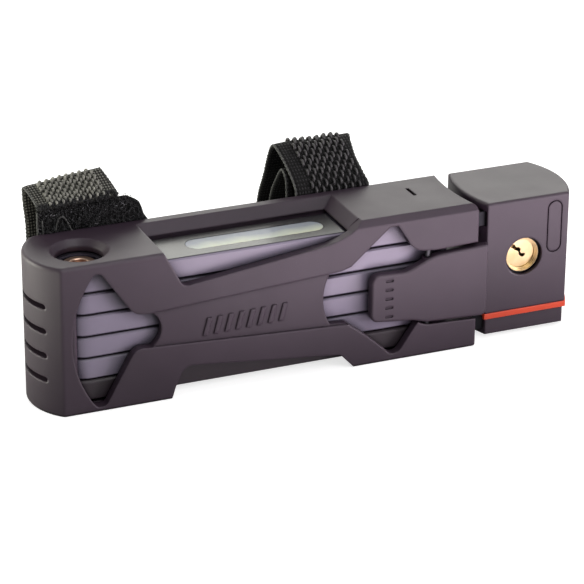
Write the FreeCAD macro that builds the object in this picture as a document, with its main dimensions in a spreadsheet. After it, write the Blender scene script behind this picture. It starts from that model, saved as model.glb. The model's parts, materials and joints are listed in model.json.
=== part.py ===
import FreeCAD, Part
import math
import os
import Sketcher
from types import SimpleNamespace
from FreeCAD import Placement, Rotation, Vector

# Folding bike lock in its frame holder.
# +X runs along the holder towards the lock head, +Y towards the bike frame, +Z up.
# The origin is on the face that rests against the frame, midway between the fold pivots
# and at mid height of the stack of six bars.

doc = FreeCAD.newDocument("folding_lock")

# ---------------------------------------------------------------- driving dimensions (mm)
DIMS = {
    "pitch": 7.5,            # height of one covered bar in the stack
    "bar_thick": 5.0,
    "bar_width": 15.0,
    "cover_thick": 7.2,
    "cover_width": 18.0,
    "short_span": 119.0,     # pivot spacing of bars 2 to 5
    "long_span": 146.0,      # pivot spacing of bars 1 and 6
    "pivot_x": -59.5,        # left-hand fold axis
    "stack_y": -23.3,        # centre line of the bars
    "rivet_r": 4.0,
    "rivet_head_r": 5.6,
    "rivet_head_h": 1.0,
    "fit": 0.05,             # radial running clearance
    "front_y": -36.3,        # front face of the holder
    "back_y": -6.0,          # back face of the holder
    "low_z": -24.9,          # underside of the holder
    "top_z": 26.5,           # top of the holder
    "inner_front_y": -33.1,
    "inner_back_y": -12.6,
    "head_x": 80.0,          # left-hand front corner of the lock head
    "head_len": 30.0,
    "head_front_y": -32.5,
    "head_back_y": -1.5,
    "head_top_z": 24.3,
    "head_low_z": -15.4,
    "head_skin": 1.8,
    "foot_z": -23.2,         # underside of the end block
    "seal_low_z": -17.5,
    "cyl_x": 94.0,           # axis of the lock cylinder
    "cyl_z": 3.5,
    "cyl_r": 6.0,
    "plug_r": 5.0,
    "plug_len": 22.0,
    "lever_x": 57.0,         # lever pin
    "lever_y": -34.7,
    "pad_thick": 1.5,
    "block_y": -1.5,         # back of the strap block, front of the soft pad
    "strap_width": 25.0,
    "strap_thick": 1.8,
    "strap_left_x": -54.0,
    "strap_right_x": 33.0,
    "boss_mid_x": 22.0,
    "boss_spacing": 64.0,
    "boss_r": 2.75,
}

sheet = doc.addObject("Spreadsheet::Sheet", "dims")
for row, (alias, value) in enumerate(DIMS.items(), start=1):
    sheet.set("A%d" % row, alias)
    sheet.set("B%d" % row, str(value))
    sheet.setAlias("B%d" % row, alias)
doc.recompute()

# The same dimensions for outlines, whose points are plain arithmetic.
D = SimpleNamespace(**DIMS)


def expression(text):
    """Turn the $words of a text into references to the sheet."""
    out = str(text)
    for alias in sorted(DIMS, key=len, reverse=True):
        out = out.replace("$" + alias, "dims." + alias)
    return out


def bind(obj, **fields):
    for field, text in fields.items():
        obj.setExpression(field.replace("__", "."), expression(text))
    return obj


def place(obj, x="0", y="0", z="0", turn=None):
    if turn is not None:
        obj.Placement = Placement(Vector(0, 0, 0), turn)
    return bind(obj, Placement__Base__x=x, Placement__Base__y=y, Placement__Base__z=z)


# ---------------------------------------------------------------- simple solids
TO_Y = Rotation(Vector(1, 0, 0), -90)
TO_X = Rotation(Vector(0, 1, 0), 90)


def box(x, y, z, dx, dy, dz):
    o = doc.addObject("Part::Box", "box")
    bind(o, Length=dx, Width=dy, Height=dz)
    return place(o, x, y, z)


def rod(x, y, z, radius, height, turn=None):
    o = doc.addObject("Part::Cylinder", "rod")
    bind(o, Radius=radius, Height=height)
    return place(o, x, y, z, turn)


def cone(x, y, z, low_radius, high_radius, height):
    o = doc.addObject("Part::Cone", "cone")
    bind(o, Radius1=low_radius, Radius2=high_radius, Height=height)
    return place(o, x, y, z)


def fuse(*parts):
    o = doc.addObject("Part::MultiFuse", "union")
    o.Shapes = list(parts)
    return o


def common(*parts):
    o = doc.addObject("Part::MultiCommon", "common")
    o.Shapes = list(parts)
    return o


def group(*parts):
    o = doc.addObject("Part::Compound", "set")
    o.Links = list(parts)
    return o


def cut(base, *tools):
    o = doc.addObject("Part::Cut", "cut")
    o.Base = base
    o.Tool = tools[0] if len(tools) == 1 else fuse(*tools)
    return o


def outline(points):
    """A closed sketch of lines and arcs. A step is a point (u, v) or an arc ("arc", middle, end)."""
    sk = doc.addObject("Sketcher::SketchObject", "outline")
    start = here = points[0]
    steps = list(points[1:])
    if steps[-1][-1] != start:
        steps.append(start)
    for step in steps:
        if step[0] == "arc":
            middle, end = step[1:]
            sk.addGeometry(Part.ArcOfCircle(*[Vector(u, v, 0) for u, v in (here, middle, end)]), False)
        else:
            end = step
            sk.addGeometry(Part.LineSegment(Vector(*here, 0), Vector(*end, 0)), False)
        here = end
    return sk


# How the sketch lies, which way it is pushed, and the field that holds its start, by plane.
PLANES = {
    "xy": (Rotation(), Vector(0, 0, 1), "Placement__Base__z"),
    "xz": (Rotation(Vector(1, 0, 0), 90), Vector(0, 1, 0), "Placement__Base__y"),
    "yz": (Rotation(0.5, 0.5, 0.5, 0.5), Vector(1, 0, 0), "Placement__Base__x"),
}


def prism(plane, points, start, depth):
    """An outline in the named plane, pushed from start along the remaining axis."""
    turn, way, field = PLANES[plane]
    sk = outline(points)
    sk.Placement = Placement(Vector(0, 0, 0), turn)
    bind(sk, **{field: start})
    o = doc.addObject("Part::Extrusion", "prism")
    o.Base = sk
    o.DirMode = "Custom"
    o.Dir = way
    o.Solid = True
    return bind(o, LengthFwd=depth)


def rounded(base, radius, wanted, kind="Part::Fillet"):
    """Fillet or chamfer the edges for which wanted(edge) is true."""
    doc.recompute()
    o = doc.addObject(kind, "rounding")
    o.Base = base
    o.Edges = [(i, radius, radius) for i, edge in enumerate(base.Shape.Edges, start=1) if wanted(edge)]
    return o


def level(z):
    """True for an edge that lies flat at height z."""
    return lambda e: e.BoundBox.ZLength < 0.01 and abs(e.BoundBox.ZMin - z) < 0.01


def pill(u_low, u_high, v, radius):
    """Outline of a bar with round ends, from centre u_low to centre u_high at level v."""
    return [(u_low, v - radius), (u_high, v - radius), ("arc", (u_high + radius, v), (u_high, v + radius)),
            (u_low, v + radius), ("arc", (u_low - radius, v), (u_low, v - radius))]


def upright_pill(u, v_low, v_high, radius):
    return [(u - radius, v_low), ("arc", (u, v_low - radius), (u + radius, v_low)), (u + radius, v_high),
            ("arc", (u, v_high + radius), (u - radius, v_high))]


def coil(radius, wire, pitch, height):
    """A helical wire spring along +Z from the origin, as helix and sweep."""
    helix = doc.addObject("Part::Helix", "coil_path")
    helix.Pitch = pitch
    helix.Height = height
    helix.Radius = radius
    ring = doc.addObject("Part::Circle", "coil_wire")
    ring.Radius = wire
    ring.Placement = Placement(Vector(radius, 0, 0), Rotation(Vector(1, 0, 0), 90))
    o = doc.addObject("Part::Sweep", "coil")
    o.Sections = [ring]
    o.Spine = (helix, ["Edge1"])
    o.Solid = True
    o.Frenet = True
    return o


# ---------------------------------------------------------------- the list of finished pieces
PIECES = []


def finish(obj, label):
    obj.Label = label
    PIECES.append((label, obj))


# ================================================================ bars
def body_sketch(body, name):
    """A sketch on the body's own XY plane."""
    support = [f for f in body.Origin.OriginFeatures if f.Role == "XY_Plane"][0]
    sk = body.newObject("Sketcher::SketchObject", name)
    sk.AttachmentSupport = [(support, "")]
    sk.MapMode = "FlatFace"
    return sk


def named(sk, name, text, *constraint):
    """Add a constraint, name it and bind its value."""
    i = sk.addConstraint(Sketcher.Constraint(*constraint))
    sk.renameConstraint(i, name)
    sk.setExpression("Constraints." + name, expression(text))


def sketch_bar(sk, span):
    """Two half circles about the pivots joined by two lines; the left-hand pivot is the sketch origin."""
    reach = DIMS[span]
    r = D.bar_width / 2
    up = Vector(0, 0, 1)
    left_circle = Part.Circle(Vector(0, 0, 0), up, r)
    right_circle = Part.Circle(Vector(reach, 0, 0), up, r)
    left = sk.addGeometry(Part.ArcOfCircle(left_circle, math.pi / 2, 3 * math.pi / 2), False)
    low = sk.addGeometry(Part.LineSegment(Vector(0, -r, 0), Vector(reach, -r, 0)), False)
    right = sk.addGeometry(Part.ArcOfCircle(right_circle, -math.pi / 2, math.pi / 2), False)
    high = sk.addGeometry(Part.LineSegment(Vector(reach, r, 0), Vector(0, r, 0)), False)
    for a, b in ((left, low), (low, right), (right, high), (high, left)):
        sk.addConstraint(Sketcher.Constraint("Tangent", a, 2, b, 1))
    sk.addConstraint(Sketcher.Constraint("Coincident", left, 3, -1, 1))
    sk.addConstraint(Sketcher.Constraint("PointOnObject", right, 3, -1))
    named(sk, "span", "$" + span, "DistanceX", left, 3, right, 3, reach)
    named(sk, "end_radius", "$bar_width / 2", "Radius", left, r)


def sketch_hole(sk, name, radius_text, radius, span=None):
    """A pivot hole at the sketch origin, or at the far end when span is given."""
    x = DIMS[span] if span else 0
    i = sk.addGeometry(Part.Circle(Vector(x, 0, 0), Vector(0, 0, 1), radius), False)
    named(sk, name + "_radius", radius_text, "Radius", i, radius)
    if span:
        sk.addConstraint(Sketcher.Constraint("PointOnObject", i, 3, -1))
        named(sk, name + "_x", "$" + span, "DistanceX", -1, 1, i, 3, x)
    else:
        sk.addConstraint(Sketcher.Constraint("Coincident", i, 3, -1, 1))


def floor_of(number):
    """Underside of bar layer 1 (top) to 6 (bottom), as an expression."""
    return "(3 - %d) * $pitch" % number


TIGHT = ("$rivet_r", D.rivet_r)
LOOSE = ("$rivet_r + $fit", D.rivet_r + D.fit)
# Span, left hole and right hole of each bar. A rivet is tight in the upper bar of its pair and
# turns in the lower one. The sixth bar holds the locking stud in its right-hand hole.
BARS = {
    1: ("long_span", TIGHT, LOOSE),
    2: ("short_span", LOOSE, TIGHT),
    3: ("short_span", TIGHT, LOOSE),
    4: ("short_span", LOOSE, TIGHT),
    5: ("short_span", TIGHT, LOOSE),
    6: ("long_span", LOOSE, TIGHT),
}
BAR_RISE = "($pitch - $bar_thick) / 2"
COVER_RISE = "($pitch - $cover_thick) / 2"


def bar_floor(number):
    return floor_of(number) + " + " + BAR_RISE


for number, (span, left_hole, right_hole) in BARS.items():
    label = "bar_%d" % number
    body = doc.addObject("PartDesign::Body", label)
    plan = body_sketch(body, label + "_plan")
    sketch_bar(plan, span)
    pad = body.newObject("PartDesign::Pad", label + "_pad")
    pad.Profile = plan
    bind(pad, Length="$bar_thick")
    holes = body_sketch(body, label + "_holes")
    sketch_hole(holes, "left", *left_hole)
    sketch_hole(holes, "right", *right_hole, span)
    pocket = body.newObject("PartDesign::Pocket", label + "_pivots")
    pocket.Profile = holes
    pocket.Type = "ThroughAll"
    pocket.Midplane = True
    body.Tip = pocket
    finish(place(body, "$pivot_x", "$stack_y", bar_floor(number)), label)

# ================================================================ covers and label
WINDOW_R = 7.3               # round opening of a cover about each pivot
LONG_COVER_END = 73.5        # the covers of the long bars stop square inside the holder
SEAT_LEFT, SEAT_RIGHT = -19.5, 20.0
SEAT_R = 4.1
SEAT_FLOOR = "3 * $pitch - 0.65"


def about_pivot(right_x, width, square=False):
    """Plan of a strip with its left end round about the pivot and its right end round or square."""
    plan = pill(D.pivot_x, right_x, D.stack_y, width / 2)
    if square:
        plan[2] = plan[2][2]
    return plan


for number, (span, _, _) in BARS.items():
    long_bar = span == "long_span"
    low = floor_of(number) + " + " + COVER_RISE
    right_x = LONG_COVER_END if long_bar else D.pivot_x + DIMS[span]
    outer = prism("xy", about_pivot(right_x, D.cover_width, long_bar), low, "$cover_thick")
    doc.recompute()
    skin_low, skin_high = outer.Shape.BoundBox.ZMin, outer.Shape.BoundBox.ZMax
    soft = rounded(outer, 0.7, lambda e: level(skin_low)(e) or level(skin_high)(e), "Part::Chamfer")
    tools = [prism("xy", about_pivot(D.pivot_x + DIMS[span], D.bar_width), bar_floor(number), "$bar_thick"),
             rod("$pivot_x", "$stack_y", low + " - 1", WINDOW_R, "$cover_thick + 2")]
    if not long_bar:
        tools.append(rod("$pivot_x + $short_span", "$stack_y", low + " - 1", WINDOW_R, "$cover_thick + 2"))
    if number == 1:
        tools.append(prism("xy", pill(SEAT_LEFT, SEAT_RIGHT, D.stack_y, SEAT_R), SEAT_FLOOR, "2"))
    finish(cut(soft, *tools), "cover_%d" % number)

finish(prism("xy", pill(SEAT_LEFT, SEAT_RIGHT, D.stack_y, SEAT_R - 0.1), SEAT_FLOOR, "0.4"), "label_plate")

# ================================================================ rivets and washers
HOLLOW_R = 3.1               # blind hole in each end of a rivet


def rivet(upper, x):
    """Rivet through bar `upper` and the one below it, with a rounded ring of a head at each end."""
    top = bar_floor(upper) + " + $bar_thick + $rivet_head_h"
    low = bar_floor(upper + 1) + " - $rivet_head_h"
    y = "$stack_y"
    shaft = rod(x, y, low, "$rivet_r", "$pitch + $bar_thick + 2 * $rivet_head_h")
    head = rod(x, y, top + " - $rivet_head_h", "$rivet_head_r", "$rivet_head_h")
    foot = rod(x, y, low, "$rivet_head_r", "$rivet_head_h")
    hollows = [rod(x, y, top + " - 2.5", HOLLOW_R, "3.5"), rod(x, y, low + " - 1", HOLLOW_R, "3.5")]
    whole = cut(fuse(shaft, head, foot), *hollows)
    doc.recompute()
    ends = (whole.Shape.BoundBox.ZMin, whole.Shape.BoundBox.ZMax)
    soft = rounded(whole, 0.6, lambda e: any(level(z)(e) for z in ends))
    finish(soft, "rivet_%d_%d" % (upper, upper + 1))


def washer(upper, x):
    """Friction washer filling the space between two bars."""
    z = bar_floor(upper) + " - ($pitch - $bar_thick) + 0.02"
    ring = rod(x, "$stack_y", z, "$rivet_head_r", "$pitch - $bar_thick - 0.02")
    hole = rod(x, "$stack_y", z + " - 1", "$rivet_r + $fit", "$pitch - $bar_thick + 2")
    finish(cut(ring, hole), "washer_%d_%d" % (upper, upper + 1))


LEFT = "$pivot_x"
RIGHT = "$pivot_x + $short_span"
for upper, x in ((1, LEFT), (2, RIGHT), (3, LEFT), (4, RIGHT), (5, LEFT)):
    rivet(upper, x)
    washer(upper, x)

# ================================================================ lock head
HEAD_X = "$pivot_x + $long_span"      # pivot of the first bar and axis of the locking stud
TOP_BAR_Z = "2 * $pitch + " + BAR_RISE
LEFT_BOW, RIGHT_BOW = 2.9, 4.4        # how far the ends of the head bulge


def barrel(inset, z, height):
    """The head's plan, flat in front and behind with bowed ends, drawn in by inset all round."""
    x0, x1 = D.head_x + inset, D.head_x + D.head_len - inset
    y0, y1 = D.head_front_y + inset, D.head_back_y - inset
    middle = (D.head_front_y + D.head_back_y) / 2
    plan = [(x0, y0), (x1, y0), ("arc", (x1 + RIGHT_BOW, middle), (x1, y1)), (x0, y1),
            ("arc", (x0 - LEFT_BOW, middle), (x0, y0))]
    return prism("xy", plan, z, height)


def bar_chamber(room):
    """Space for the first bar, open to the left, with room above and below it."""
    low, height = TOP_BAR_Z + " - %s" % room, "$bar_thick + 2 * %s" % room
    return fuse(box("70", "$stack_y - $bar_width / 2 - 1", low, HEAD_X + " - 70", "$bar_width + 2", height),
                rod(HEAD_X, "$stack_y", low, "$bar_width / 2 + 1", height))


block = rounded(barrel(0, "$head_low_z", "$head_top_z - $head_low_z"), 1.0, level(D.head_top_z))
hollow = barrel(D.head_skin, "$head_low_z - 1", "$head_top_z - $head_low_z - $head_skin + 1")
key_hole = rod("$cyl_x", "$head_front_y - 1", "$cyl_z", "$cyl_r + 0.7", "5", TO_Y)
# A pill-shaped outline engraved beside the cylinder.
groove = cut(prism("xz", upright_pill(105.0, 6.1, 19.3, 2.8), "$head_front_y - 0.1", "0.5"),
             prism("xz", upright_pill(105.0, 6.1, 19.3, 2.35), "$head_front_y - 0.2", "0.8"))
finish(cut(block, bar_chamber(0.2), hollow, key_hole, groove), "head_cover")

# The lock cylinder lies along +Y, turned so that its pins point up and to the left.
PINS_TURN = Rotation(Vector(0, 1, 0), -45)
FACE_Y = "$head_front_y + 3"
PIN_PLACES = [4.0 + 3.6 * i for i in range(5)]


def in_cylinder(*parts):
    """Carry parts drawn about the cylinder's own axis (+Y in, pins along +Z) to their place in the head."""
    return place(group(*parts), "$cyl_x", FACE_Y, "$cyl_z", PINS_TURN)


KEEPER_X, KEEPER_Y = "$cyl_x - 4.6", "$head_front_y + 21"
BOLT_Z = "-11.6"
STUD_ROOM = "$rivet_r + 0.9"
core = barrel(D.head_skin, "$head_low_z", "$head_top_z - $head_skin - $head_low_z")
rivet_bore = rod(HEAD_X, "$stack_y", TOP_BAR_Z, "$rivet_r", "4 * $pitch")
rivet_sink = rod(HEAD_X, "$stack_y", TOP_BAR_Z + " - 1.1", "6.1", "1.2")
cylinder_bore = rod("$cyl_x", "$head_front_y - 1", "$cyl_z", "$cyl_r + 0.02", "29", TO_Y)
pin_house_slot = in_cylinder(box("-2.52", "-6", "0", "5.04", "28.02", "12.02"))
cam_pocket = rod("$cyl_x", "$head_front_y + 27", "$cyl_z", "7", "$head_back_y - $head_front_y - 29", TO_Y)
bolt_pocket = fuse(
    box(HEAD_X, "$stack_y - 3", BOLT_Z + " - 0.1", "15.4", "6", "4.2"),
    box("93.6", "$stack_y - 3", BOLT_Z + " - 0.1", "8.4", "23", "4.2"),
    box("91.0", "-5.6", BOLT_Z + " - 0.1", "10.5", "2.1", "18.2"),
    rod("101.8", "$stack_y", "-9.6", "2.2", "4.9", TO_X))
stud_bore = rod(HEAD_X, "$stack_y", "$head_low_z - 1", STUD_ROOM, "9.6")
keeper_bore = rod(KEEPER_X, KEEPER_Y, "$head_low_z", "1", "17.5")
finish(cut(core, bar_chamber(0.05), rivet_bore, rivet_sink, cylinder_bore, pin_house_slot, cam_pocket,
           bolt_pocket, stud_bore, keeper_bore), "head_body")

# The red seal stands a little proud of the head, with soft edges.
seal = barrel(-0.3, "$seal_low_z", "$head_low_z - $seal_low_z")
seal = rounded(seal, 0.28, lambda e: level(D.seal_low_z)(e) or level(D.head_low_z)(e))
notch_y = "$stack_y - $bar_width / 2 - 1.2"
bar_notch = box("70", notch_y, "$seal_low_z - 1", HEAD_X + " - 61", "$bar_width + 2.4", "2.4")
finish(cut(seal, rod(HEAD_X, "$stack_y", "$seal_low_z - 1", STUD_ROOM, "6"), bar_notch), "head_seal")

# Rivet that carries the first bar in the head.
rivet_low = TOP_BAR_Z + " - 1"
shaft = rod(HEAD_X, "$stack_y", rivet_low, "$rivet_r", "$head_top_z - $head_skin - (%s)" % rivet_low)
finish(fuse(shaft, rod(HEAD_X, "$stack_y", rivet_low, "6", "0.95")), "head_rivet")

# ================================================================ lock cylinder
# The housing's rim stands in front of the plug and steps down to it.
RIM = 1.5
tube = rod("0", -RIM, "0", "$cyl_r", 22 + RIM, TO_Y)
pin_house = box("-2.5", "0", "0", "5", "22", "12")
housing = in_cylinder(fuse(tube, pin_house))
plug_bore = in_cylinder(rod("0", -RIM - 1, "0", "$plug_r + $fit", 24 + RIM, TO_Y))
rim_steps = [in_cylinder(rod("0", -RIM - 1, "0", radius, 1 + depth, TO_Y)) for radius, depth in
             ((5.7, 0.5), (5.4, 1.0))]
pin_bores = [in_cylinder(rod("0", y, "4.5", "1.3", "6.5")) for y in PIN_PLACES]
keeper_slot = rod(KEEPER_X, KEEPER_Y, "$cyl_z - 8", "1", "4.3")
finish(cut(housing, plug_bore, keeper_slot, *rim_steps, *pin_bores), "cylinder_housing")
finish(rod(KEEPER_X, KEEPER_Y, "$head_low_z", "1", "$cyl_z - $head_low_z - 3.7"), "cylinder_keeper")

# The keyway has wards on both sides, so its mouth is a zigzag, with a round end at the rim.
KEYWAY = [(-0.45, 4.0), (-0.45, 2.2), (-0.1, 1.6), (-0.1, 0.7), (-0.7, 0.0), (-0.7, -1.2), (-0.2, -1.9),
          (0.9, -1.9), (0.9, -1.1), (0.25, -0.6), (0.25, 0.3), (1.15, 0.9), (1.15, 2.0), (0.55, 2.6),
          (0.55, 4.0)]
tail = rod("0", "$plug_len", "0", "2.5", "2", TO_Y)
plug = in_cylinder(fuse(rod("0", "0", "0", "$plug_r", "$plug_len", TO_Y), tail))
keyway = in_cylinder(fuse(prism("xz", KEYWAY, "-1", "20"), rod("0.05", "-1", "3.85", "0.75", "20", TO_Y)))
pin_bores = [in_cylinder(rod("0", y, "0.5", "1.25", "6")) for y in PIN_PLACES]
finish(cut(plug, keyway, *pin_bores), "cylinder_plug")

# Every key pin stops at the shear line, as with the right key in the plug.
PIN_R = 1.2
shear = math.sqrt(D.plug_r ** 2 - PIN_R ** 2) - 0.02
KEY_PINS = [3.0, 2.4, 3.4, 2.7, 3.1]
DRIVER_PIN = 2.4
DRIVER_LOW = "$plug_r + 0.06"
key_pins = [rod("0", y, shear - size, PIN_R, size) for y, size in zip(PIN_PLACES, KEY_PINS)]
finish(in_cylinder(*key_pins), "key_pins")
driver_pins = [rod("0", y, DRIVER_LOW, PIN_R, DRIVER_PIN) for y in PIN_PLACES]
finish(in_cylinder(*driver_pins), "driver_pins")
springs = [place(coil(0.95, 0.18, 0.62, 2.5), "0", y, "%s + %s + 0.22" % (DRIVER_LOW, DRIVER_PIN))
           for y in PIN_PLACES]
finish(in_cylinder(*springs), "pin_springs")

# A cam on the plug's tail: a disc with a drive pin that works in the bolt's slot.
CAM_Y = FACE_Y + " + 22.1"
cam_disc = rod("$cyl_x", CAM_Y, "$cyl_z", "6", "1.8", TO_Y)
cam_pin = rod("$cyl_x", CAM_Y + " + 1.8", "$cyl_z - 3.5", "1", "1.9", TO_Y)
tail_hole = rod("$cyl_x", CAM_Y + " - 0.5", "$cyl_z", "2.5", "3", TO_Y)
finish(fuse(cut(cam_disc, tail_hole), cam_pin), "cylinder_cam")

# ================================================================ bolt, stud and end block
# The bolt is an angled plate: its nose sits in the neck of the stud, its upright takes the cam pin.
nose = box(HEAD_X + " + 2.4", "$stack_y - 2.6", BOLT_Z, "9.1", "5.2", "4")
arm = box("94", "$stack_y - 2.6", BOLT_Z, "4", "22.2", "4")
upright = box("91.4", "-5.5", BOLT_Z, "6", "1.8", "17.6")
cam_slot = box("92.9", "-6", "-1.3", "3", "4", "6.2")
finish(cut(fuse(nose, arm, upright), cam_slot), "locking_bolt")
finish(place(group(coil(1.5, 0.3, 1.2, 7.6)), "98.4", "$stack_y", "-9.6", TO_X), "bolt_spring")

LOW_BAR_Z = "-3 * $pitch + " + BAR_RISE
stud = rod(HEAD_X, "$stack_y", LOW_BAR_Z, "$rivet_r", "14.2")
neck = cut(rod(HEAD_X, "$stack_y", BOLT_Z + " - 0.3", "$rivet_r + 1", "4.6"),
           rod(HEAD_X, "$stack_y", BOLT_Z + " - 1", "2.2", "7"))
finish(cut(stud, neck), "locking_stud")

foot = barrel(0.5, "$foot_z", "$seal_low_z - $foot_z")
bar_seat = prism("xy", about_pivot(D.pivot_x + D.long_span, D.bar_width), LOW_BAR_Z, "$bar_thick")
finish(cut(foot, bar_seat), "end_block")

# ================================================================ holder
FRONT, BACK = D.front_y, D.back_y
MIDDLE = (FRONT + BACK) / 2


def upright_edge(e):
    return e.BoundBox.ZLength > 20


# The left end is bowed and the right end is hollow, so that it follows the head.
plan = [(-70, FRONT), (74.6, FRONT), ("arc", (72.0, -17), (72.85, BACK)), (-70, BACK),
        ("arc", (-77, MIDDLE), (-70, FRONT))]
shell = prism("xy", plan, "$low_z", "$top_z - $low_z")
shell = rounded(shell, 1.4, lambda e: upright_edge(e) and e.BoundBox.XMax < -60 and e.BoundBox.YMax < -30)
shell = rounded(shell, 5.0, lambda e: upright_edge(e) and e.BoundBox.XMax < -60 and e.BoundBox.YMax > -10)
shell = rounded(shell, 1.2, lambda e: level(D.top_z)(e) or level(D.low_z)(e))
# The right-hand block has a flat chamfer along its top front edge.
bevel = prism("yz", [(FRONT - 1, 23.5), (FRONT + 3, 27.5), (FRONT - 1, 27.5)], "28", "60")

cavity_r = (D.inner_back_y - D.inner_front_y) / 2
cavity_plan = pill(D.pivot_x, 90, D.inner_front_y + cavity_r, cavity_r)
cavity = prism("xy", cavity_plan, "-3 * $pitch - 0.3", "6 * $pitch + 0.7")

THROUGH_WALL = ("$front_y - 1", "$inner_front_y - $front_y + 2")
# Left window: a long bow on the left, a point at the top and bottom, a round nose on the right.
left_window = prism("xz", [
    (-59.5, -22.4), ("arc", (-66.7, 0), (-59.5, 22.4)), ("arc", (-58.0, 23.0), (-56.4, 22.4)),
    (-47.4, 9.4), ("arc", (-45.6, 7.6), (-43.0, 6.9)), (-40.0, 6.6),
    ("arc", (-36.6, 0.4), (-40.0, -5.4)), (-42.6, -5.1), ("arc", (-45.2, -5.6), (-46.9, -7.2)),
    (-55.4, -22.2), ("arc", (-57.3, -23.2), (-59.5, -22.4))], *THROUGH_WALL)
# Right window: round the lever's tab, with a peak above and below, and open to the right.
right_window = prism("xz", [
    (42.6, 23.4), (45.6, 23.4), (49.2, 17.8), ("arc", (51.6, 14.6), (55.5, 13.2)), (60, 12.8),
    (90, 13.8), (90, -15.2), (58, -13.8), ("arc", (55.2, -13.2), (53.4, -12.2)), (47.4, -20.8),
    ("arc", (44.7, -22.2), (42.0, -20.6)), (35.4, -14.5), (27.9, -8.6), (21.8, -8.0),
    ("arc", (19.4, 1.0), (21.6, 10.0)), (24.8, 10.4), (28.8, 11.6)], *THROUGH_WALL)
# Front part of the top window, which slopes with the centre band.
notch = prism("xz", [(-37.0, 29), (-30.2, 15.9), ("arc", (-28.9, 14.58), (-27.1, 14.26)), (20.4, 20.2),
                     (25.3, 21.6), (29.0, 23.3), (33.9, 27.0), (33.9, 29)], *THROUGH_WALL)
# Its top part behind the front wall, with a sloping rim.
rim = doc.addObject("Part::Wedge", "rim")
rim.Xmin, rim.Xmax, rim.X2min, rim.X2max = -34.6, 29.0, -35.8, 33.4
rim.Zmin, rim.Z2min = 13.4, 9.6
rim.Placement = Placement(Vector(0, 0, 0), Rotation(Vector(1, 0, 0), 90))
bind(rim, Ymin="$top_z - 3.2", Ymax="$top_z + 0.4", Zmax="-$inner_front_y", Z2max="-$inner_front_y")
top_hatch = box("-34.6", "$inner_front_y", "$top_z - 6", "63.6", "-13.4 - $inner_front_y", "4")
# The front wall is cut away along its lower edge, between the two feet.
under = prism("xz", [(-34.6, -28), (-32.3, -20.5), (-30.8, -17.3), ("arc", (-29.2, -14.9), (-26.0, -13.9)),
                     (25.4, -19.3), (33.4, -28)], "$front_y - 1", "$inner_back_y - $front_y + 1")

# The centre band is sunk into the front, with a row of leaning ribs left standing on it.
BAND_DEPTH, RIB_PROUD = 0.8, 0.4
band = prism("xz", [(-46, 6.4), (28, 10.7), (28, -8.9), (-46, -4.9)], "$front_y - 1", 1 + BAND_DEPTH)
RIB_WIDTH, RIB_LOW, RIB_HIGH, RIB_LEAN = 1.5, -4.4, 1.6, 1.6
ribs = []
for i in range(8):
    x = -22.6 + 3.75 * i
    low, high = RIB_LOW + 0.12 * i, RIB_HIGH + 0.12 * i
    corners = [(x, low), (x + RIB_WIDTH, low), (x + RIB_WIDTH + RIB_LEAN, high), (x + RIB_LEAN, high)]
    ribs.append(prism("xz", corners, FRONT + BAND_DEPTH - RIB_PROUD, RIB_PROUD + 0.2))

sight = rod("$pivot_x", "$stack_y", "20", "7.8", "10")
dish = cone("$pivot_x", "$stack_y", "$top_z - 2", "7.8", "9.7", "2.2")
VENT_HALF = 0.95
vents = [prism("yz", pill(-30.9, -15.7, z, VENT_HALF), "-80", "12") for z in (-12.7, -4.3, 4.1, 12.5)]
slit = box("57.9", "-21", "$top_z - 0.8", "1.2", "6.6", "2")
lever_pin_bore = rod("$lever_x", "$lever_y", "-17.5", "1", "34")

# Strap block on the back: two tunnels for the straps and two holes for screws into frame bosses.
block = box("-68.5", "$back_y - 0.5", "-16", "129.5", "$block_y - $back_y + 0.5", "32")
doc.recompute()
block = rounded(block, 4.0, lambda e: e.BoundBox.YLength > 3)
tunnels = [box(x + " - $strap_width / 2 - 0.4", "-5.6", "-20", "$strap_width + 0.8", "2.4", "40")
           for x in ("$strap_left_x", "$strap_right_x")]
BOSSES = ("$boss_mid_x - $boss_spacing / 2", "$boss_mid_x + $boss_spacing / 2")
screw_holes = [rod(x, "-14", "0", "$boss_r", "14", TO_Y) for x in BOSSES]
head_sinks = [rod(x, "-14", "0", "5.2", "5", TO_Y) for x in BOSSES]
body = cut(fuse(shell, block), cavity, bevel, left_window, right_window, notch, rim, top_hatch, under, band,
           sight, dish, slit, lever_pin_bore, *vents, *tunnels, *screw_holes, *head_sinks)
finish(fuse(body, *ribs), "holder_shell")

pad = box("-66.5", "$block_y", "-14", "125.5", "$pad_thick", "28")
doc.recompute()
pad = rounded(pad, 4.0, lambda e: abs(e.BoundBox.YLength - D.pad_thick) < 0.01)
finish(cut(pad, *[rod(x, "-3", "0", "$boss_r", "6", TO_Y) for x in BOSSES]), "frame_pad")

# ================================================================ release lever
# A rocking plate: its left-hand tab is pressed in, which lifts the hook at its right-hand end.
PROUD = 1.0
plate = prism("xz", [
    (38.8, -9.7), (51.2, -11.0), (56.0, -12.4), (76.4, -13.4), ("arc", (77.7, -12.6), (78.2, -10.6)),
    (78.2, 12.1), (61.5, 11.3), ("arc", (57.6, 10.6), (54.0, 9.2)), (50.4, 7.6),
    ("arc", (49.0, 7.1), (47.4, 6.9)), (38.8, 7.3), ("arc", (36.8, 6.3), (36.0, 3.6)), (35.9, -6.3),
    ("arc", (36.6, -8.7), (38.8, -9.7))], "$front_y - %s" % PROUD, "2.8")
doc.recompute()
face = FRONT - PROUD
plate = rounded(plate, 0.8, lambda e: abs(e.BoundBox.YMax - face) < 0.01 and e.BoundBox.YLength < 0.01)
pin_barrel = rod("$lever_x", "$lever_y", "-12", "2", "22.3")
hook = prism("xy", [(74.4, -34.8), (77.4, -34.8), (77.4, -33.8), (76.6, -33.15), (75.4, -33.15)], "-9", "17")
pin_hole = rod("$lever_x", "$lever_y", "-20", "1 + $fit", "40")
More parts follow.
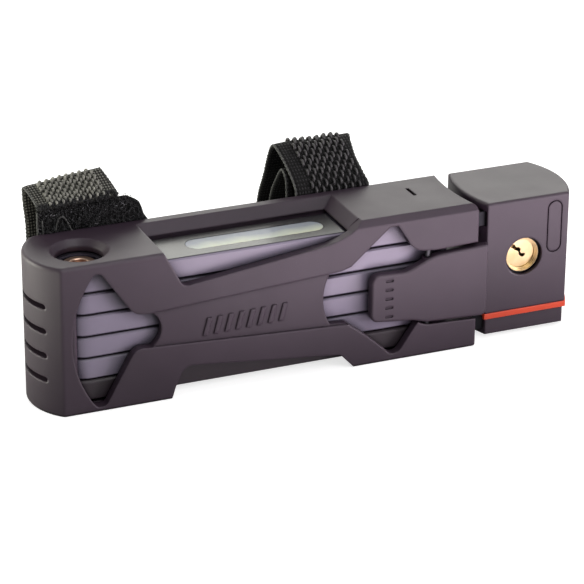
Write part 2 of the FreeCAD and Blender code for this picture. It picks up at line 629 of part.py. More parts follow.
spring_gap = rod("$lever_x", "$lever_y", "-4.4", "2.1", "8.8")
# Five short grooves across the tab give the thumb some grip.
grip = [prism("xz", pill(41.2, 43.3, z, 0.45), face - 1, "1.35") for z in (-8.1, -4.9, -1.7, 1.5, 4.7)]
finish(cut(fuse(plate, pin_barrel, hook), pin_hole, spring_gap, *grip), "release_lever")
finish(rod("$lever_x", "$lever_y", "-17.5", "1", "34"), "lever_pin")
finish(place(group(coil(1.5, 0.22, 0.8, 8.0)), "$lever_x", "$lever_y", "-4"), "lever_spring")


# ================================================================ straps
def hull(circles, grow):
    """Outline drawn tight round circles (y, z, radius), listed clockwise, each grown by grow."""
    sides = []
    for (y0, z0, r0), (y1, z1, r1) in zip(circles, circles[1:] + circles[:1]):
        gap = math.hypot(y1 - y0, z1 - z0)
        lean = math.atan2(z1 - z0, y1 - y0) + math.asin((r1 - r0) / gap)
        ny, nz = -math.sin(lean), math.cos(lean)
        first = (y0 + (r0 + grow) * ny, z0 + (r0 + grow) * nz)
        last = (y1 + (r1 + grow) * ny, z1 + (r1 + grow) * nz)
        sides.append((first, last, ny, nz))
    points = [sides[0][0]]
    for (_, last, ay, az), (first, _, by, bz), (y, z, r) in zip(
            sides, sides[1:] + sides[:1], circles[1:] + circles[:1]):
        size = math.hypot(ay + by, az + bz)
        middle = (y + (r + grow) * (ay + by) / size, z + (r + grow) * (az + bz) / size)
        points += [last, ("arc", middle, first)]
    return points


def loop(circles, x, low, high):
    """A closed band of webbing with thickness from low to high outside the circles."""
    outer = prism("yz", hull(circles, high), x + " - $strap_width / 2", "$strap_width")
    inner = prism("yz", hull(circles, low), x + " - $strap_width / 2 - 1", "$strap_width + 2")
    return cut(outer, inner)


# Each strap passes down its tunnel and round behind, with its free end laid over it above the holder.
STRAPS = {
    "strap_left": ("$strap_left_x", [
        (-1.5, -19.5, 2.0), (-1.5, 33.0, 2.0), (4.6, 35.6, 1.6), (6.0, 2.0, 3.0), (3.6, -19.0, 2.0)]),
    "strap_right": ("$strap_right_x", [
        (-1.5, -19.5, 2.0), (-2.3, 22.0, 1.2), (10.2, 35.6, 1.2), (20.6, 13.0, 3.0), (11.0, -16.5, 5.0)]),
}
for label, (x, circles) in STRAPS.items():
    band = loop(circles, x, 0.0, D.strap_thick)
    free_end = common(loop(circles, x, D.strap_thick, 2 * D.strap_thick),
                      box(x + " - 40", "-20", "$top_z + 2", "80", "60", "30"))
    finish(fuse(band, free_end), label)

# ================================================================ check and write
doc.recompute()
for o in doc.Objects:
    if "Invalid" in o.State or "Error" in o.State:
        raise RuntimeError("%s (%s): %s" % (o.Name, o.Label, o.State))
for label, obj in PIECES:
    if obj.Shape.isNull() or not obj.Shape.isValid():
        raise RuntimeError("bad shape: " + label)
os.makedirs("parts", exist_ok=True)
for label, obj in PIECES:
    obj.Shape.exportStep("parts/" + label + ".step")
    print("%-18s solids %2d  volume %9.1f" % (label, len(obj.Shape.Solids), obj.Shape.Volume))
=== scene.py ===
import json
import math
import random

import bpy
from mathutils import Matrix, Vector, noise


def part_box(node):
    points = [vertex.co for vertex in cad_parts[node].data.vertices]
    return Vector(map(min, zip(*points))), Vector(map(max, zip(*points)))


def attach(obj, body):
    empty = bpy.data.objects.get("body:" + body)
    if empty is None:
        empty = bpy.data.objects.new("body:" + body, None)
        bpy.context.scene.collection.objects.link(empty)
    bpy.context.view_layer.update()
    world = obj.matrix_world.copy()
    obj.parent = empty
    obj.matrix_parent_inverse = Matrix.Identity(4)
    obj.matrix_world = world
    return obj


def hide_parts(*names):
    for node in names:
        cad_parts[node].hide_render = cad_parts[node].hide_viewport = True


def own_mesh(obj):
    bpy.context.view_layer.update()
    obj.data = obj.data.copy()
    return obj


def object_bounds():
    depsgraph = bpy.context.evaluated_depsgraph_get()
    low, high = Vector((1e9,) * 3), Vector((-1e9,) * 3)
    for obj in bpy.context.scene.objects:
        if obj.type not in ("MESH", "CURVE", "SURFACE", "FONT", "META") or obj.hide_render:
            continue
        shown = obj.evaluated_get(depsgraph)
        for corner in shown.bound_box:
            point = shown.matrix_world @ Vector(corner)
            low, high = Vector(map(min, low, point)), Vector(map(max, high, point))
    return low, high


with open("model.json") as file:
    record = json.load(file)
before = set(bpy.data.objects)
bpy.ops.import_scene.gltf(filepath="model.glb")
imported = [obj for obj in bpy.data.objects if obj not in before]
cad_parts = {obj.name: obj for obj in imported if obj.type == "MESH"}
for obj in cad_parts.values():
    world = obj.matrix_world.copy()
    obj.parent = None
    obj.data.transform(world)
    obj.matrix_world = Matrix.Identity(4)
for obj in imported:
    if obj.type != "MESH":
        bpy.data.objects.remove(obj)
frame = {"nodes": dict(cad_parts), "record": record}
LOW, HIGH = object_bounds()
NODES = frame["nodes"]


# ---------------------------------------------------------------- materials
class Mat:
    """A node material under construction, with short calls for the nodes used most."""

    def __init__(self, name):
        self.mat = bpy.data.materials.new(name)
        self.mat.use_nodes = True
        self.tree = self.mat.node_tree
        self.tree.nodes.clear()
        self.bsdf = self.add("ShaderNodeBsdfPrincipled")
        self.link(self.bsdf.outputs[0], self.add("ShaderNodeOutputMaterial").inputs[0])
        self.coord = self.add("ShaderNodeTexCoord").outputs["Object"]

    def add(self, kind, **fields):
        node = self.tree.nodes.new(kind)
        for key, value in fields.items():
            setattr(node, key, value)
        return node

    def link(self, a, b):
        self.tree.links.new(a, b)

    def put(self, node, **values):
        for key, value in values.items():
            node.inputs[key.replace("_", " ")].default_value = value
        return node

    def set(self, **values):
        self.put(self.bsdf, **values)
        return self

    def mapped(self, scale, turn=(0, 0, 0), source=None):
        node = self.put(self.add("ShaderNodeMapping"), Scale=scale, Rotation=turn)
        self.link(source or self.coord, node.inputs["Vector"])
        return node.outputs["Vector"]

    def noise(self, scale, detail=3.0, rough=0.55, vector=None):
        node = self.put(self.add("ShaderNodeTexNoise"), Scale=scale, Detail=detail, Roughness=rough)
        self.link(vector or self.coord, node.inputs["Vector"])
        return node.outputs["Fac"]

    def voronoi(self, scale, vector=None):
        node = self.put(self.add("ShaderNodeTexVoronoi"), Scale=scale)
        self.link(vector or self.coord, node.inputs["Vector"])
        return node.outputs["Distance"]

    def wave(self, scale, vector, axis="X", profile="SIN"):
        node = self.add("ShaderNodeTexWave", bands_direction=axis, wave_profile=profile)
        self.put(node, Scale=scale)
        self.link(vector, node.inputs["Vector"])
        return node.outputs["Fac"]

    def ramp(self, fac, *stops):
        node = self.add("ShaderNodeValToRGB")
        marks = node.color_ramp.elements
        while len(marks) < len(stops):
            marks.new(0.5)
        for mark, (pos, col) in zip(marks, stops):
            mark.position = pos
            mark.color = (*col, 1) if isinstance(col, tuple) else (col, col, col, 1)
        self.link(fac, node.inputs["Fac"])
        return node.outputs["Color"]

    def span(self, fac, low, high):
        node = self.put(self.add("ShaderNodeMapRange"), To_Min=low, To_Max=high)
        self.link(fac, node.inputs["Value"])
        return node.outputs["Result"]

    def math(self, op, a, b):
        node = self.add("ShaderNodeMath", operation=op)
        for socket, value in zip(node.inputs, (a, b)):
            if isinstance(value, (int, float)):
                socket.default_value = value
            else:
                self.link(value, socket)
        return node.outputs[0]

    def mix(self, fac, a, b):
        node = self.add("ShaderNodeMix", data_type="RGBA")
        for socket, value in zip((node.inputs["Factor"], node.inputs[6], node.inputs[7]), (fac, a, b)):
            if isinstance(value, tuple):
                socket.default_value = (*value, 1)
            else:
                self.link(value, socket)
        return node.outputs[2]

    def bump(self, height, strength, distance, after=None):
        node = self.put(self.add("ShaderNodeBump"), Strength=strength, Distance=distance)
        self.link(height, node.inputs["Height"])
        if after is not None:
            self.link(after, node.inputs["Normal"])
        return node.outputs["Normal"]

    def soft_edge(self, radius):
        """The normal of a surface with rounded edges, and how much that differs from the true normal."""
        node = self.put(self.add("ShaderNodeBevel", samples=4), Radius=radius)
        dot = self.add("ShaderNodeVectorMath", operation="DOT_PRODUCT")
        self.link(node.outputs["Normal"], dot.inputs[0])
        self.link(self.add("ShaderNodeNewGeometry").outputs["Normal"], dot.inputs[1])
        return node.outputs["Normal"], self.math("SUBTRACT", 1.0, dot.outputs["Value"])

    def crevice(self, reach, samples=4):
        """1 on open surfaces, falling to 0 in corners and gaps narrower than reach."""
        node = self.put(self.add("ShaderNodeAmbientOcclusion", samples=samples), Distance=reach)
        return self.ramp(node.outputs["AO"], (0.35, 0.0), (0.85, 1.0))

    def colour(self, socket):
        self.link(socket, self.bsdf.inputs["Base Color"])

    def rough(self, socket):
        self.link(socket, self.bsdf.inputs["Roughness"])

    def normal(self, socket):
        self.link(socket, self.bsdf.inputs["Normal"])


MM = 0.001
BAR_PITCH = 7.5 * MM


def shade(c, k):
    return tuple(min(1.0, v * k) for v in c)


def plastic(name, col, rough=(0.42, 0.56), grain=2600, depth=0.02, cloud=0.12, edge=0.9, wear_and_highlight=1.5, dust=0.0,
            shade_reach=1.8, seams=False):
    """Moulded plastic: soft colour clouds, fine grain, rounded edges rubbed lighter as wear and as a painted
    highlight, and dust.
    With seams, painted shade darkens the lines where the covers of neighbouring bars meet, one bar pitch
    apart."""
    m = Mat(name)
    base = m.ramp(m.noise(38, 4), (0.3, shade(col, 1 - cloud)), (0.7, shade(col, 1 + cloud)))
    # Edges lighten: partly wear, partly a painted highlight along the rounded edges.
    edges, rub_and_highlight = m.soft_edge(edge * MM)
    rub_and_highlight = m.math("MULTIPLY", m.math("MULTIPLY", rub_and_highlight, wear_and_highlight), m.noise(420, 3))
    base = m.mix(rub_and_highlight, base, shade(col, 3.5))
    if dust:
        specks = m.ramp(m.voronoi(230), (0.0, 1.0), (0.035, 0.0))
        specks = m.math("MULTIPLY", specks, m.math("GREATER_THAN", m.noise(60, 2), 0.60))
        base = m.mix(m.math("MULTIPLY", specks, dust), base, (0.5, 0.5, 0.5))
    # Painted shade: thin dark lines where the gaps between neighbouring bar covers fall.
    if seams:
        parts = m.add("ShaderNodeSeparateXYZ")
        m.link(m.coord, parts.inputs[0])
        off = m.math("PINGPONG", parts.outputs["Z"], BAR_PITCH / 2)
        line = m.ramp(m.math("MULTIPLY", off, 2 / BAR_PITCH), (0.06, 1.0), (0.13, 0.0))
        base = m.mix(line, base, (0.004, 0.003, 0.005))
    # Painted shade: corners and gaps found by ambient occlusion darken the colour and lower the specular.
    open_air = m.crevice(shade_reach * MM)
    m.colour(m.mix(open_air, shade(col, 0.12), base))
    m.link(m.math("MULTIPLY", open_air, 0.5), m.bsdf.inputs["Specular IOR Level"])
    m.rough(m.span(m.noise(90, 5), *rough))
    swells = m.bump(m.noise(160, 2), 0.10, 0.08 * MM, edges)
    m.normal(m.bump(m.noise(grain, 2, 0.7), 0.35, depth * MM, swells))
    return m.mat


def metal(name, col, rough=(0.18, 0.34), stretch=(1, 1, 1), scale=900, depth=0.01, edge=0.12):
    """Worked metal: tool lines along one direction, a little tarnish and a broken edge."""
    m = Mat(name)
    lines = m.noise(scale, 3, 0.6, m.mapped(stretch))
    m.colour(m.ramp(m.noise(120, 4), (0.25, shade(col, 0.82)), (0.75, shade(col, 1.08))))
    m.rough(m.span(lines, *rough))
    m.normal(m.bump(lines, 0.25, depth * MM, m.soft_edge(edge * MM)[0]))
    m.set(Metallic=1.0)
    return m.mat


def turned_brass():
    """Brass faced on a lathe, so that light falls on it in wedges from the centre."""
    m = Mat("brass")
    m.colour(m.ramp(m.noise(300, 3), (0.2, (0.55, 0.40, 0.195)), (0.8, (0.64, 0.51, 0.29))))
    m.rough(m.span(m.noise(600, 3), 0.26, 0.36))
    m.link(m.add("ShaderNodeTangent", direction_type="RADIAL", axis="Y").outputs[0], m.bsdf.inputs["Tangent"])
    m.normal(m.soft_edge(0.2 * MM)[0])
    m.set(Metallic=1.0, Anisotropic=0.6)
    return m.mat


def foil():
    """Silvery foil under a clear dome, from yellow to blue-grey, with a row of plain embossed bars."""
    m = Mat("label_metal")
    along = m.add("ShaderNodeSeparateXYZ")
    m.link(m.coord, along.inputs[0])
    per_metre = 90.0
    drift = m.math("MULTIPLY", along.outputs["Y"], per_metre)
    drift = m.math("ADD", drift, m.math("MULTIPLY", m.noise(60, 3), 0.8))
    drift = m.math("SUBTRACT", drift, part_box("label_plate")[0].y * per_metre)
    m.colour(m.ramp(drift, (0.25, (0.50, 0.50, 0.33)), (0.55, (0.40, 0.43, 0.36)), (0.9, (0.22, 0.24, 0.28))))
    bars = m.wave(0.126, m.mapped((1000, 1000, 1000), (0, 0, 0.35)), "X")
    middle = m.math("MULTIPLY", m.math("GREATER_THAN", along.outputs["X"], -0.007),
                    m.math("LESS_THAN", along.outputs["X"], 0.009))
    m.normal(m.bump(m.math("MULTIPLY", bars, middle), 0.5, 0.12 * MM, m.soft_edge(0.2 * MM)[0]))
    m.rough(m.span(m.noise(700, 3), 0.40, 0.55))
    m.set(Metallic=0.25, Coat_Weight=0.25, Coat_Roughness=0.15)
    return m.mat


def webbing(name, dark, light, weave=1.0):
    """Woven tape: warp and weft ridges from the tape's own length and width, with frayed lighter threads."""
    m = Mat(name)
    uv = m.add("ShaderNodeUVMap", uv_map="tape").outputs[0]
    warp = m.wave(0.30 * weave, uv, "X")
    weft = m.wave(0.25 * weave, uv, "Y")
    ridges = m.math("MULTIPLY", warp, weft)
    fray = m.noise(900, 4, 0.7)
    m.colour(m.ramp(m.math("ADD", m.math("MULTIPLY", ridges, 0.6), m.math("MULTIPLY", fray, 0.4)),
                    (0.2, dark), (0.75, light)))
    m.rough(m.span(fray, 0.55, 0.85))
    m.normal(m.bump(m.math("ADD", ridges, m.math("MULTIPLY", fray, 0.3)), 0.9, 0.25 * MM))
    m.set(Sheen_Weight=0.02, Specular_IOR_Level=0.15)
    return m.mat


def thread(name, dark, light, rough=0.4):
    """Nylon thread, glossy and uneven in tone."""
    m = Mat(name)
    m.colour(m.ramp(m.noise(700, 3), (0.3, dark), (0.7, light)))
    m.rough(m.span(m.noise(1500, 2), rough, rough + 0.2))
    m.normal(m.bump(m.noise(4000, 2), 0.3, 0.02 * MM))
    return m.mat


CHARCOAL = (0.029, 0.017, 0.028)
MATS = {
    "holder_plastic": plastic("holder_plastic", CHARCOAL, dust=0.7),
    "lever_plastic": plastic("lever_plastic", CHARCOAL, dust=0.8),
    "head_plastic": plastic("head_plastic", CHARCOAL, (0.40, 0.52), dust=0.3),
    "end_block_plastic": plastic("end_block_plastic", shade(CHARCOAL, 0.9)),
    "pad_rubber": plastic("pad_rubber", (0.016, 0.016, 0.017), (0.6, 0.8), edge=0.3),
    "strap_fabric": webbing("strap_fabric", (0.004, 0.004, 0.005), (0.035, 0.034, 0.034)),
    "pin_steel": metal("pin_steel", (0.06, 0.06, 0.065), (0.3, 0.45)),
    "spring_steel": metal("spring_steel", (0.45, 0.45, 0.47)),
    "hard_steel": metal("hard_steel", (0.018, 0.018, 0.020), (0.35, 0.5)),
    "bar_steel": metal("bar_steel", (0.022, 0.022, 0.025), (0.35, 0.5), (1, 12, 12)),
    # The covers take painted shade from further away, which darkens them near the window edges.
    "cover_grey": plastic("cover_grey", (0.190, 0.166, 0.222), (0.20, 0.30), 3000, 0.012, 0.05, 0.2, 0.2,
                          shade_reach=4.5, seams=True),
    "cover_black": plastic("cover_black", (0.032, 0.024, 0.030), (0.30, 0.42)),
    "rivet_copper": metal("rivet_copper", (0.66, 0.45, 0.34), (0.25, 0.4)),
    "washer_nylon": plastic("washer_nylon", (0.7, 0.69, 0.65), edge=0.1),
    "label_metal": foil(),
    "seal_red": plastic("seal_red", (0.50, 0.045, 0.014), (0.32, 0.45), edge=0.3, wear_and_highlight=0.15),
    "brass": turned_brass(),
}
HOOK_THREAD = thread("hook_thread", (0.022, 0.020, 0.022), (0.060, 0.056, 0.058))
# A lighter copy of the hook thread, its lightness painted light for the left strap's tab.
HOOK_PAINTED_LIGHT = thread("hook_thread_painted_light", (0.085, 0.083, 0.072), (0.24, 0.235, 0.205))
SELVEDGE = thread("selvedge_thread", (0.015, 0.015, 0.015), (0.08, 0.08, 0.075), 0.6)
PILE = thread("pile_thread", (0.003, 0.003, 0.004), (0.016, 0.016, 0.017), 0.6)
FLUFF = thread("fluff_thread", (0.06, 0.06, 0.07), (0.25, 0.25, 0.26), 0.5)
# A lighter copy of the strap tape, its lightness painted light for the left strap's tab.
TAPE_PAINTED_LIGHT = webbing("tape_painted_light", (0.008, 0.008, 0.007), (0.20, 0.195, 0.17), 1.1)
DARK_TAPE = webbing("tape_dark", (0.002, 0.002, 0.002), (0.022, 0.021, 0.022))
PILE_TAPE = webbing("tape_pile", (0.002, 0.002, 0.002), (0.010, 0.010, 0.011), 1.7)

for part in frame["record"]["subparts"]:
    node = NODES[part["node"]]
    node.data.materials.clear()
    node.data.materials.append(MATS[part["material_slot"]])

# ---------------------------------------------------------------- straps
def spline(points, step=0.7):
    """A smooth curve through points of any length, as points about step apart in their first two values."""
    ends = [[2 * a - b for a, b in zip(points[0], points[1])],
            [2 * a - b for a, b in zip(points[-1], points[-2])]]
    knots = ends[:1] + list(points) + ends[1:]
    out = []
    for four in zip(knots, knots[1:], knots[2:], knots[3:]):
        count = max(2, round(math.dist(four[1][:2], four[2][:2]) / step))
        for i in range(count):
            t = i / count
            ease = (-t + 2 * t * t - t ** 3, 2 - 5 * t * t + 3 * t ** 3,
                    t + 4 * t * t - 3 * t ** 3, t ** 3 - t * t)
            out.append([sum(k * v for k, v in zip(ease, column)) / 2 for column in zip(*four)])
    out.append(list(points[-1]))
    return out


class Skin:
    """One mesh piece, collected in millimetres, with tape coordinates across and along."""

    def __init__(self):
        self.verts = []
        self.faces = []
        self.tape = []

    def loft(self, rings, tape):
        base = len(self.verts)
        n = len(rings[0])
        for ring, marks in zip(rings, tape):
            self.verts += ring
            self.tape += marks
        for i in range(base, base + n * (len(rings) - 1), n):
            self.faces += [(i + j, i + (j + 1) % n, i + n + (j + 1) % n, i + n + j) for j in range(n)]
        last = base + n * (len(rings) - 1)
        self.faces += [tuple(range(base + n - 1, base - 1, -1)), tuple(range(last, last + n))]

    def tube(self, points, radius, side, sides=6, bead=0.0, pitch=1.2):
        """A thread along points, bending mostly square to the direction called side."""
        rings = []
        tape = []
        run = 0.0
        for i, p in enumerate(points):
            along = (points[min(i + 1, len(points) - 1)] - points[max(i - 1, 0)]).normalized()
            u = side.cross(along).normalized()
            w = along.cross(u)
            run += (p - points[max(i - 1, 0)]).length
            r = radius * (1 + bead * math.sin(math.tau * run / pitch))
            turns = [math.tau * k / sides for k in range(sides)]
            rings.append([p + (u * math.cos(a) + w * math.sin(a)) * r for a in turns])
            tape.append([(a, run) for a in turns])
        self.loft(rings, tape)

    def piece(self, name, material, node, body="holder", slot="strap_fabric"):
        mesh = bpy.data.meshes.new(name)
        mesh.from_pydata([v * MM for v in self.verts], [], self.faces)
        layer = mesh.uv_layers.new(name="tape")
        for loop in mesh.loops:
            layer.data[loop.index].uv = self.tape[loop.vertex_index]
        for face in mesh.polygons:
            face.use_smooth = True
        mesh.materials.append(material)
        mesh.update()
        o = bpy.data.objects.new(name, mesh)
        bpy.context.collection.objects.link(o)
        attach(o, body)
        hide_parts(node)
        return o


class Tape:
    """A tape laid along rows of (y, z, left, right, lift), where lift is how much higher its right edge is
    than its left."""

    def __init__(self, rows, thick, seed, wobble=0.25):
        self.rows = spline(rows)
        self.half = thick / 2
        self.seed = seed
        self.wobble = wobble
        self.run = [0.0]
        for a, b in zip(self.rows, self.rows[1:]):
            self.run.append(self.run[-1] + math.dist(a[:2], b[:2]))

    def frame(self, i):
        """The direction along the tape at row i, and the direction out of its outer face."""
        a = self.rows[max(i - 1, 0)]
        b = self.rows[min(i + 1, len(self.rows) - 1)]
        along = Vector((0, b[0] - a[0], b[1] - a[1])).normalized()
        return along, Vector((1, 0, 0)).cross(along)

    def at(self, i, across, rise=0.0):
        """The point on row i at a fraction across the tape, rise above its middle plane."""
        y, z, left, right, lift = self.rows[i]
        x = left + (right - left) * across
        wave = self.wobble * noise.noise(Vector((x * 0.13, self.run[i] * 0.11, self.seed)))
        return Vector((x, y, z + lift * (across - 0.5))) + self.frame(i)[1] * (rise + wave)

    def row_near(self, distance):
        return min(range(len(self.rows)), key=lambda i: abs(self.run[i] - distance))

    def skin(self, columns=22):
        band = Skin()
        h = self.half
        rings = []
        tape = []
        for i, row in enumerate(self.rows):
            tuck = h / (row[3] - row[2])
            lanes = [tuck + (1 - 2 * tuck) * j / columns for j in range(columns + 1)]
            ring = [(a, h) for a in lanes] + [(1 - tuck * 0.3, h * 0.7), (1, 0), (1 - tuck * 0.3, -h * 0.7)]
            ring += [(a, -h) for a in reversed(lanes)]
            ring += [(tuck * 0.3, -h * 0.7), (0, 0), (tuck * 0.3, h * 0.7)]
            ring.reverse()
            rings.append([self.at(i, a, r) for a, r in ring])
            tape.append([(a * (row[3] - row[2]), self.run[i]) for a, r in ring])
        band.loft(rings, tape)
        return band

    def edge(self, skin, across, start, end, radius=0.36, rise=0.5):
        """A beaded thread along the tape, for its woven edge or a seam."""
        rows = range(self.row_near(start), self.row_near(end) + 1)
        line = [self.at(i, across, self.half * rise) for i in rows]
        skin.tube(line, radius, Vector((1, 0, 0)), 6, 0.35, 1.4)

    def hooks(self, skin, start, end, left, right, pitch, row_pitch, length, rise, lean, wire):
        """Rows of bent threads standing on the outer face, each row half a pitch on from the last."""
        for row in range(int((end - start) / row_pitch) + 1):
            i = self.row_near(start + row * row_pitch)
            along, out = self.frame(i)
            width = self.rows[i][3] - self.rows[i][2]
            x = left + pitch / 2 * (row % 2)
            while x <= right:
                jitter = noise.noise_vector(Vector((x * 1.7, row * 2.3, self.seed)))
                foot = self.at(i, x / width, self.half * 0.8)
                top = out * rise * (1 + 0.25 * jitter.x) + Vector((1, 0, 0)) * (lean + 0.2 * jitter.y)
                reach = along * length / 2 * (1 + 0.2 * jitter.z)
                bend = [foot - reach * math.cos(a) + top * math.sin(a)
                        for a in (math.pi * k / 7 for k in range(8))]
                skin.tube(bend, wire, along.cross(top).normalized(), 6)
                x += pitch

    def nap(self, skin, count, start, end, size, wire, rng):
        """Loose curls of fine thread scattered over the outer face."""
        for _ in range(count):
            i = self.row_near(rng.uniform(start, end))
            along, out = self.frame(i)
            turn = rng.uniform(0, math.tau)
            flat = Vector((1, 0, 0)) * math.cos(turn) + along * math.sin(turn)
            up = (out + flat.cross(out) * rng.uniform(-0.8, 0.8)).normalized()
            r = size * rng.uniform(0.6, 1.3)
            foot = self.at(i, rng.uniform(0.005, 0.995), self.half * 0.9)
            bend = [foot + flat * r * math.cos(a) + up * r * math.sin(a) * 1.2
                    for a in (math.pi * k / 5 for k in range(6))]
            skin.tube(bend, wire, flat.cross(up), 4)


SEED = 11
rng = random.Random(SEED)
noise.seed_set(SEED)
X_AXIS = Vector((1, 0, 0))
LEFT_LOW, LEFT_HIGH = (v.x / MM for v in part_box("strap_left"))
RIGHT_LOW, RIGHT_HIGH = (v.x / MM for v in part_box("strap_right"))


def rows(left, right, points):
    """Rows of a tape from (y, z) or (y, z, more on the left, more on the right, lift)."""
    return [(p[0], p[1], left - (p[2] if len(p) > 2 else 0), right + (p[3] if len(p) > 2 else 0),
             p[4] if len(p) > 2 else 0) for p in points]


# Left strap: the soft pile side comes up the tunnel and stands in front; the hook tape lies over its end
# and goes down behind.
pile = Tape(rows(LEFT_LOW, LEFT_HIGH, [
    (-1.5, -22.4), (-3.55, -21.5), (-4.4, -19.5), (-4.4, -8), (-4.4, 5), (-4.4, 15),
    (-4.8, 19.5, 0.5, 7, 0), (-5.4, 24.5, 1.0, 11.6, 0), (-5.6, 28.1, 1.1, 10.1, 0),
    (-5.5, 31.4, 1.1, 9.0, 0), (-5.1, 33.3, 1.0, 7.4, 0), (-3.9, 34.4, 0.9, 4.6, 0)]), 1.3, 1.0, 0.9)
tab = Tape(rows(LEFT_LOW, LEFT_HIGH, [
    (-5.6, 34.6, 0.4, 1.4, 1.6), (-4.6, 35.3, 0.5, 1.4, 1.7), (0.4, 37.3, 0.9, 0.6, 2.3),
    (5.4, 39.2, 1.6, -0.5, 3.0), (6.9, 38.2, 1.6, -0.5, 3.0), (7.4, 33, 1.3, -0.4, 2.2),
    (7.9, 24, 0.5, -0.1, 0.6), (9.2, 8), (9.5, 0), (8.2, -10), (6.4, -18.5), (5.2, -21.2), (3.0, -22.1),
    (-1.5, -22.4)]), 1.3, 2.0, 0.3)
pile.skin().piece("strap_left_pile", PILE_TAPE, "strap_left")
tab.skin().piece("strap_left_hook_tape", TAPE_PAINTED_LIGHT, "strap_left")
hooks = Skin()
tab.hooks(hooks, 1.0, 12.8, 4.0, 22.6, 2.25, 1.25, 1.3, 0.85, 0.2, 0.46)
hooks.piece("strap_left_hooks", HOOK_PAINTED_LIGHT, "strap_left")
top = pile.run[-1]
nap = Skin()
pile.nap(nap, 1500, top - 17, top, 0.55, 0.10, rng)
tab.nap(nap, 320, 0, 1.8, 0.7, 0.10, rng)
nap.piece("strap_left_nap", PILE, "strap_left")
fluff = Skin()
pile.nap(fluff, 110, top - 16, top - 1, 0.45, 0.07, rng)
fluff.piece("strap_left_fluff", FLUFF, "strap_left")
seams = Skin()
pile.edge(seams, 0.004, top - 20, top - 1.5)
pile.edge(seams, 0.045, top - 20, top - 4, 0.26, 1.3)
tab.edge(seams, 0.004, 0.4, 34, 0.34)
tab.edge(seams, 0.996, 0.4, 34, 0.34)
arch = [(-62.3, 21.5), (-61.9, 26), (-61.0, 30.2), (-59.8, 31.5), (-58.4, 30.6), (-56.4, 26.4), (-54.3, 22.5)]
seams.tube([Vector((x, -6.7, z)) for x, z in spline(arch)], 0.27, Vector((0, 1, 0)), 6, 0.35, 1.4)
seams.piece("strap_left_selvedge", SELVEDGE, "strap_left")

# Right strap: one loop standing higher, with its hooks outwards and its free end folded inside.
loop = Tape(rows(RIGHT_LOW, RIGHT_HIGH, [
    (-1.5, -22.4), (-3.55, -21.5), (-4.4, -19.5), (-4.4, -8), (-4.4, 5), (-4.4, 15),
    (-4.8, 20.5, -0.8, 1.6, 0), (-5.3, 26.0, -1.6, 2.9, 0), (-3.6, 29.8, -1.4, 1.6, 0),
    (1.1, 34.2, -0.6, 0.7, 0), (6.2, 37.4, -0.1, 1.2, 0), (9.8, 38.6, 0.1, 2.2, 0), (12.4, 36.9, 0, 2, 0),
    (14.6, 32.8, 0, 1.6, 0), (17.8, 26.3, 0, 1, 0), (21.6, 19, 0, 0.5, 0), (24.2, 12.8), (24.5, 9),
    (22.2, -3), (18.4, -14), (15.8, -20), (11, -22.4), (-1.4, -22.4)]), 1.3, 3.0, 0.4)
loop.skin().piece("strap_right_loop", DARK_TAPE, "strap_right")
inner = Tape(rows(RIGHT_LOW, RIGHT_HIGH, [
    (-1.1, 20.8), (-1.0, 24.5), (-0.4, 29.6), (1.6, 31.9), (4.0, 31.6), (9.0, 25.3), (13.2, 17.7),
    (13.6, 11)]), 1.2, 4.0, 0.3)
inner.skin().piece("strap_right_free_end", DARK_TAPE, "strap_right")
hooks = Skin()
crest = max(range(len(loop.rows)), key=lambda i: loop.rows[i][1])
loop.hooks(hooks, loop.run[crest] - 21.5, loop.run[crest] + 1.5, 5.8, 23.4, 2.6, 1.9, 2.1, 0.85, 0.1, 0.46)
hooks.piece("strap_right_hooks", HOOK_THREAD, "strap_right")
seams = Skin()
loop.edge(seams, 0.004, loop.run[crest] - 24, loop.run[crest] + 45)
loop.edge(seams, 0.996, loop.run[crest] - 24, loop.run[crest] + 45)
inner.edge(seams, 0.004, 0.5, inner.run[-1])
seams.piece("strap_right_selvedge", SELVEDGE, "strap_right")

# The spring behind the bolt, as a coil at rest; in the lock it shortens by the bolt's whole travel as the key
# turns.
low, high = (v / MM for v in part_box("bolt_spring"))
wire = 0.3
radius = (high.z - low.z) / 2 - wire
steps = 150
helix = []
for i in range(steps + 1):
    angle = math.tau * 6.3 * i / steps
    x = low.x + wire + (high.x - low.x - 2 * wire) * i / steps
    helix.append(Vector((x, (low.y + high.y) / 2 + radius * math.cos(angle),
                         (low.z + high.z) / 2 + radius * math.sin(angle))))
coil = Skin()
coil.tube(helix, wire, X_AXIS, 8)
spring = coil.piece("bolt_spring_coil", MATS["spring_steel"], "bolt_spring", "lock_head", "spring_steel")
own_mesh(spring)

# ---------------------------------------------------------------- stage
bpy.ops.mesh.primitive_plane_add(size=6, location=(0, 0, LOW.z))
floor = bpy.context.object
floor.name = "floor"
paper = Mat("paper")
seen = paper.add("ShaderNodeLightPath").outputs["Is Camera Ray"]
paper.colour(paper.mix(seen, (0.45, 0.45, 0.45), (0.6, 0.6, 0.6)))
paper.set(Roughness=0.8, Specular_IOR_Level=0.0, Emission_Color=(1, 1, 1, 1))
paper.link(paper.math("MULTIPLY", seen, 0.72), paper.bsdf.inputs["Emission Strength"])
floor.data.materials.append(paper.mat)

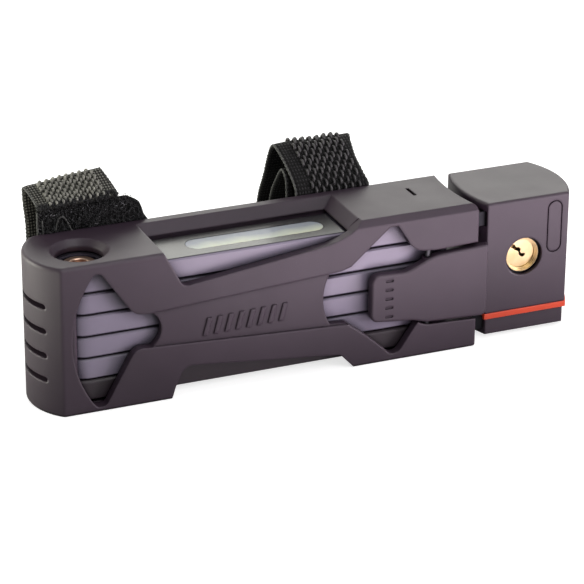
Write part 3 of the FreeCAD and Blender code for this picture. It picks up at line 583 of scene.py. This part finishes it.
world = bpy.data.worlds.new("studio")
world.use_nodes = True
tree = world.node_tree
facing = tree.nodes.new("ShaderNodeVectorMath")
facing.operation = "DOT_PRODUCT"
facing.inputs[1].default_value = Vector((0.75, 0.45, 0.5)).normalized()
tree.links.new(tree.nodes.new("ShaderNodeTexCoord").outputs["Generated"], facing.inputs[0])
room = tree.nodes.new("ShaderNodeMapRange")
room.inputs["From Min"].default_value = -1.0
room.inputs["To Min"].default_value = 0.10
room.inputs["To Max"].default_value = 0.42
tree.links.new(facing.outputs["Value"], room.inputs["Value"])
white = tree.nodes.new("ShaderNodeMix")
white.inputs["B"].default_value = 1.0
tree.links.new(tree.nodes.new("ShaderNodeLightPath").outputs["Is Camera Ray"], white.inputs["Factor"])
tree.links.new(room.outputs["Result"], white.inputs["A"])
tree.nodes["Background"].inputs["Color"].default_value = (1, 1, 1, 1)
tree.links.new(white.outputs["Result"], tree.nodes["Background"].inputs["Strength"])
bpy.context.scene.world = world


def softbox(name, at, aim, size, radiance, tint=(1, 1, 1)):
    """A soft light of the given brightness, standing at one point and facing another."""
    data = bpy.data.lights.new(name, "AREA")
    data.shape = "RECTANGLE"
    data.size, data.size_y = size
    data.color = tint
    data.energy = radiance * math.pi * size[0] * size[1]
    o = bpy.data.objects.new(name, data)
    bpy.context.collection.objects.link(o)
    o.location = at
    o.rotation_mode = "QUATERNION"
    o.rotation_quaternion = (Vector(aim) - Vector(at)).to_track_quat("-Z", "Y")
    o.visible_camera = False


softbox("back", (0.27, 0.56, 0.33), (0.03, 0, 0), (0.9, 0.34), 3.0, (1, 1, 0.94))
softbox("front_right", (0.55, -0.44, 0.02), (0.03, -0.03, 0), (0.30, 0.26), 20.0, (1, 0.94, 0.98))
softbox("front_high", (0.06, -0.52, 0.48), (0.03, -0.03, 0), (0.45, 0.35), 3.6)
softbox("left", (-0.56, 0.30, 0.10), (-0.07, 0, 0), (0.45, 0.40), 9.0, (1, 1, 0.88))
softbox("above", (0.05, -0.10, 0.90), (0.02, 0, 0), (0.7, 0.5), 1.5)
softbox("table_front", (0.29, -0.38, LOW.z + 0.002), (0.29, -0.38, 1), (0.58, 0.60), 3.3, (1, 0.86, 0.97))
softbox("table_left", (-0.42, 0.05, LOW.z + 0.002), (-0.42, 0.05, 1), (0.56, 0.60), 2.2, (1, 1, 0.88))

# ---------------------------------------------------------------- camera
AZIMUTH, ELEVATION, ROLL = -22.84, 23.88, 0.35
a, e, r = math.radians(AZIMUTH), math.radians(ELEVATION), math.radians(ROLL)
back = Vector((math.sin(a) * math.cos(e), -math.cos(a) * math.cos(e), math.sin(e)))
right = Vector((0, 0, 1)).cross(back).normalized()
up = back.cross(right)
turned_right = math.cos(r) * right + math.sin(r) * up
turned_up = -math.sin(r) * right + math.cos(r) * up
cam_data = bpy.data.cameras.new("camera")
cam_data.lens = 173.0
cam = bpy.data.objects.new("camera", cam_data)
bpy.context.collection.objects.link(cam)
aim = Vector((0.027, 0.0088, -0.0155))
eye = aim + back * 0.960
cam.matrix_world = Matrix.Translation(eye) @ Matrix((turned_right, turned_up, back)).transposed().to_4x4()
bpy.context.scene.camera = cam
bpy.context.scene.view_settings.view_transform = "Standard"
